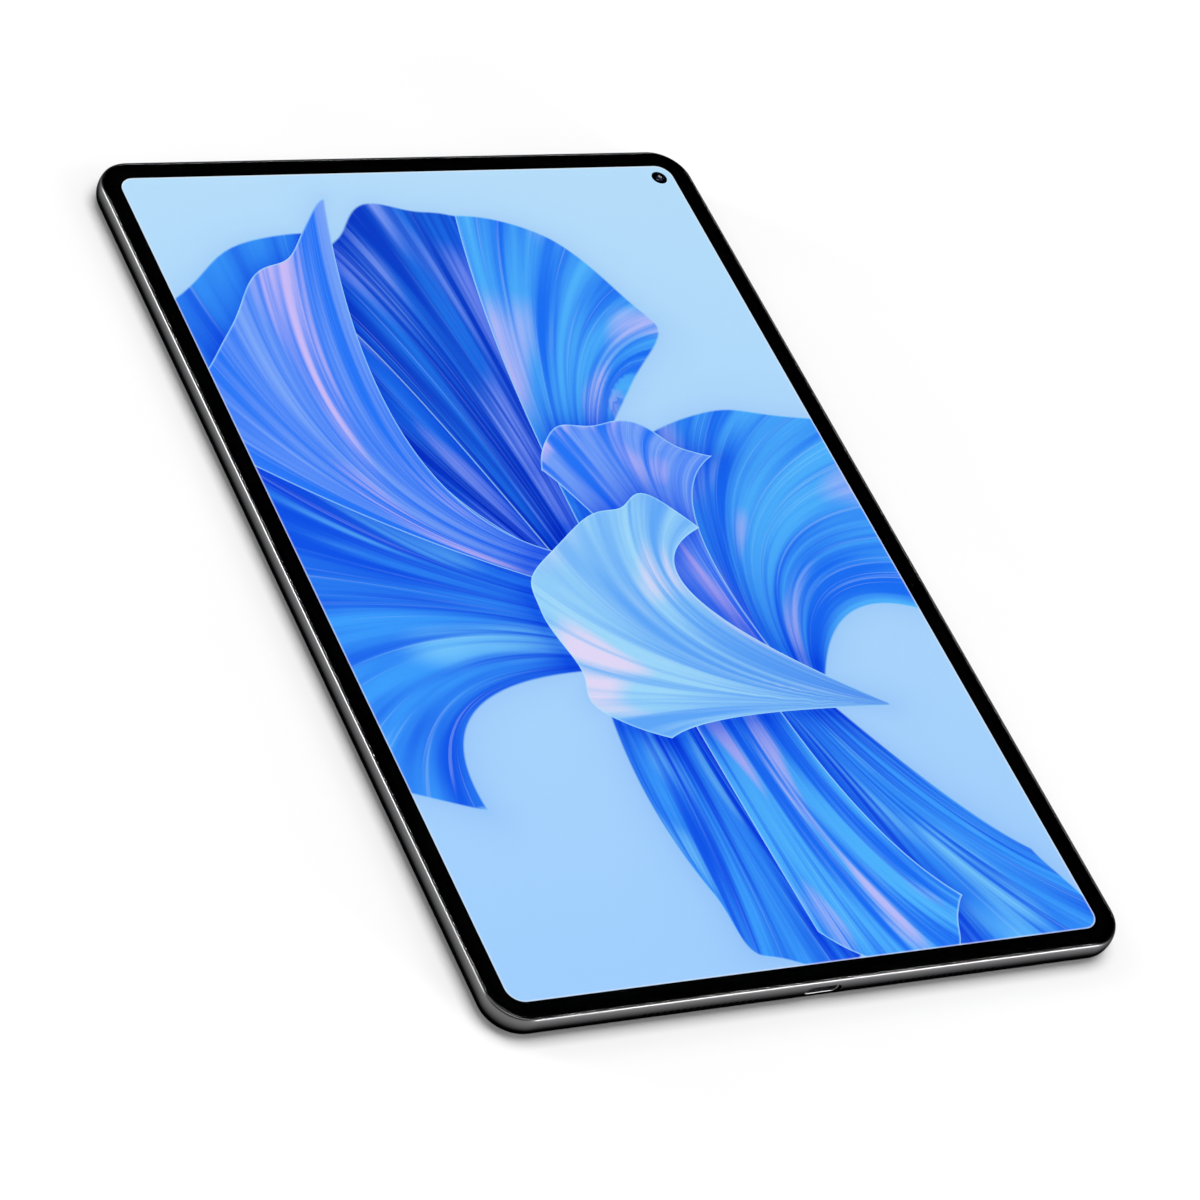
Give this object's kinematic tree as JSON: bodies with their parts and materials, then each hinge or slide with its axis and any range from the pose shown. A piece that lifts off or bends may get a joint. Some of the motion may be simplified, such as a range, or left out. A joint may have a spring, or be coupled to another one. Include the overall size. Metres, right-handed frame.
{
  "type": "tablet computer",
  "caption": "Thin tablet computer with a metal frame, edge-to-edge cover glass, punch-hole camera, side keys and USB-C socket.",
  "frame": {"origin": "centre of the flat rear face, which is the plane the rear camera island stands out of", "axes": "tablet lying on its back: +X to the right of the upright screen, +Y towards its top edge, +Z out of the screen"},
  "size_m": [0.1589, 0.2477, 0.0069],
  "materials": {
    "amber_flex": "amber polyimide film with copper tracks",
    "battery_pouch": "wrapped lithium pouch",
    "bezel_metal": "dark turned metal with a polished chamfer",
    "black_foam": "fine black foam",
    "black_plastic": "moulded black plastic",
    "black_tape": "thin black adhesive tape",
    "camera_board": "green solder mask",
    "camera_lens": "black lens barrel with coated front element",
    "camera_window": "glass printed black behind, clear over each lens",
    "chip_black": "moulded chip package",
    "circuit_board": "dark blue solder mask with gold pads",
    "copper_coil": "enamelled copper winding",
    "cover_glass": "polished chemically strengthened glass with a rounded edge",
    "display_panel": "lit picture panel, black when off",
    "flash_diffuser": "pale yellow diffuser",
    "graphite_cover": "dark graphite fine satin coating",
    "graphite_film": "grey graphite heat film",
    "graphite_frame": "dark graphite anodised, fine satin",
    "graphite_key": "dark graphite anodised, fine satin",
    "magnet_nickel": "nickel plated magnet",
    "mesh_steel": "fine black woven steel mesh",
    "port_steel": "dark nickel plated steel shell",
    "screw_steel": "small machine screw steel",
    "sensor_glaze": "smooth coated sensor face",
    "shield_steel": "tinned steel sheet",
    "speaker_plastic": "moulded black sound box",
    "steel_bracket": "stamped stainless steel",
    "thermal_pad": "soft grey thermal pad"
  },
  "bodies": {
    "housing": {"antennas": "amber_flex", "battery_board": "circuit_board", "battery_cell_left": "battery_pouch", "battery_cell_right": "battery_pouch", "battery_flex": "amber_flex", "battery_tape": "black_tape", "board_connectors": "black_plastic", "camera_bezel": "bezel_metal", "camera_bracket": "steel_bracket", "camera_window": "camera_window", "cover_glass": "cover_glass", "display_cushion": "black_foam", "display_flex": "amber_flex", "display_panel": "display_panel", "display_tape": "black_tape", "flash_module": "flash_diffuser", "front_camera": "black_plastic", "front_camera_lens": "camera_lens", "graphite_sheet": "graphite_film", "light_sensor": "chip_black", "magnets": "magnet_nickel", "main_board": "circuit_board", "main_camera_body": "black_plastic", "main_camera_sensor": "camera_board", "main_flex": "amber_flex", "memory_chip": "chip_black", "microphones": "shield_steel", "mid_frame": "graphite_frame", "pen_coil": "copper_coil", "power_chip": "chip_black", "power_key_bracket": "steel_bracket", "power_switch": "black_plastic", "processor": "chip_black", "processor_shield": "shield_steel", "rear_cover": "graphite_cover", "rear_cover_tape": "black_tape", "screws": "screw_steel", "speaker_bottom_left": "speaker_plastic", "speaker_bottom_right": "speaker_plastic", "speaker_meshes": "mesh_steel", "speaker_top_left": "speaker_plastic", "speaker_top_right": "speaker_plastic", "storage_chip": "chip_black", "thermal_pad": "thermal_pad", "usb_board": "circuit_board", "usb_shell": "port_steel", "usb_tongue": "black_plastic", "volume_bracket": "steel_bracket", "volume_rocker_pin": "screw_steel", "volume_switches": "black_plastic", "wide_camera": "camera_lens", "wireless_module": "chip_black", "wireless_shield": "shield_steel"},
    "power_button": {"power_key": "graphite_key", "fingerprint_sensor": "sensor_glaze"},
    "power_plunger": {"power_switch_plunger": "steel_bracket"},
    "volume_button": {"volume_rocker": "graphite_key"},
    "volume_up_switch": {"volume_up_plunger": "steel_bracket"},
    "volume_down_switch": {"volume_down_plunger": "steel_bracket"},
    "focus_barrel": {"main_camera_lens": "camera_lens"}
  },
  "joints": [
    {"name": "power_key_press", "type": "slide", "parent": "housing", "child": "power_button", "axis": [0, -1, 0], "range_m": [0, 0.00025], "stiffness_N_per_m": 600},
    {"name": "power_plunger_press", "type": "slide", "parent": "housing", "child": "power_plunger", "axis": [0, -1, 0], "range_m": [0, 0.00025]},
    {"name": "volume_rocker_tilt", "type": "hinge", "parent": "housing", "child": "volume_button", "pos_m": [0.0751, 0.08393, 0.00278], "axis": [0, 0, 1], "range_deg": [-1, 1], "stiffness_Nm_per_rad": 0.05},
    {"name": "volume_up_press", "type": "slide", "parent": "housing", "child": "volume_up_switch", "axis": [-1, 0, 0], "range_m": [-0.00015, 0.00015]},
    {"name": "volume_down_press", "type": "slide", "parent": "housing", "child": "volume_down_switch", "axis": [-1, 0, 0], "range_m": [-0.00015, 0.00015]},
    {"name": "focus_slide", "type": "slide", "parent": "housing", "child": "focus_barrel", "axis": [0, 0, -1], "range_m": [0, 0.0003], "stiffness_N_per_m": 60}
  ],
  "couplings": [
    {"joint": "power_plunger_press", "follows": "power_key_press", "ratio": 1},
    {"joint": "volume_up_press", "follows": "volume_rocker_tilt", "m_per_rad": 0.008},
    {"joint": "volume_down_press", "follows": "volume_rocker_tilt", "m_per_rad": -0.008}
  ]
}
